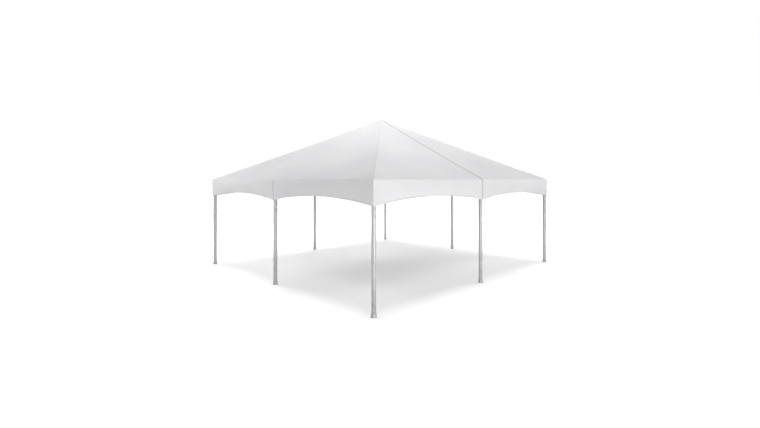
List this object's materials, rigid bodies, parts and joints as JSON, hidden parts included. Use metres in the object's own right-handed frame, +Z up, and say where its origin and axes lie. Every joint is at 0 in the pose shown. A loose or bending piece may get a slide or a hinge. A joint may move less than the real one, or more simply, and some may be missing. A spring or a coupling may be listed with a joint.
{
  "type": "frame marquee tent",
  "caption": "Open-sided square marquee: white pyramid fabric roof with a scalloped valance on a round-tube frame with posts at the corners and mid-sides.",
  "frame": {"origin": "on the ground under the peak, at the centre of the square that the posts stand on", "axes": "+Z up to the peak, +X to the right side, -Y to the front side"},
  "size_m": [6.096, 6.096, 3.6799],
  "materials": {
    "pvc_fabric": "white PVC-coated polyester, satin",
    "aluminium_tube": "mill-finish anodised",
    "galvanised_steel": "hot-dip galvanised, matt"
  },
  "bodies": {
    "root": {"cover_front": "pvc_fabric", "cover_right": "pvc_fabric", "cover_back": "pvc_fabric", "cover_left": "pvc_fabric", "leg_front_left": "aluminium_tube", "leg_front_middle": "aluminium_tube", "leg_front_right": "aluminium_tube", "leg_right_middle": "aluminium_tube", "leg_back_right": "aluminium_tube", "leg_back_middle": "aluminium_tube", "leg_back_left": "aluminium_tube", "leg_left_middle": "aluminium_tube", "eave_rail_front_front_left": "aluminium_tube", "eave_rail_front_front_right": "aluminium_tube", "eave_rail_right_front_right": "aluminium_tube", "eave_rail_right_back_right": "aluminium_tube", "eave_rail_back_back_right": "aluminium_tube", "eave_rail_back_back_left": "aluminium_tube", "eave_rail_left_back_left": "aluminium_tube", "eave_rail_left_front_left": "aluminium_tube", "hip_rafter_front_left": "aluminium_tube", "hip_rafter_front_right": "aluminium_tube", "hip_rafter_back_right": "aluminium_tube", "hip_rafter_back_left": "aluminium_tube", "mid_rafter_front": "aluminium_tube", "mid_rafter_right": "aluminium_tube", "mid_rafter_back": "aluminium_tube", "mid_rafter_left": "aluminium_tube", "corner_fitting_front_left": "galvanised_steel", "corner_fitting_front_right": "galvanised_steel", "corner_fitting_back_right": "galvanised_steel", "corner_fitting_back_left": "galvanised_steel", "side_fitting_front": "galvanised_steel", "side_fitting_right": "galvanised_steel", "side_fitting_back": "galvanised_steel", "side_fitting_left": "galvanised_steel", "crown_fitting": "galvanised_steel", "foot_front_left": "galvanised_steel", "foot_front_middle": "galvanised_steel", "foot_front_right": "galvanised_steel", "foot_right_middle": "galvanised_steel", "foot_back_right": "galvanised_steel", "foot_back_middle": "galvanised_steel", "foot_back_left": "galvanised_steel", "foot_left_middle": "galvanised_steel"}
  },
  "joints": []
}
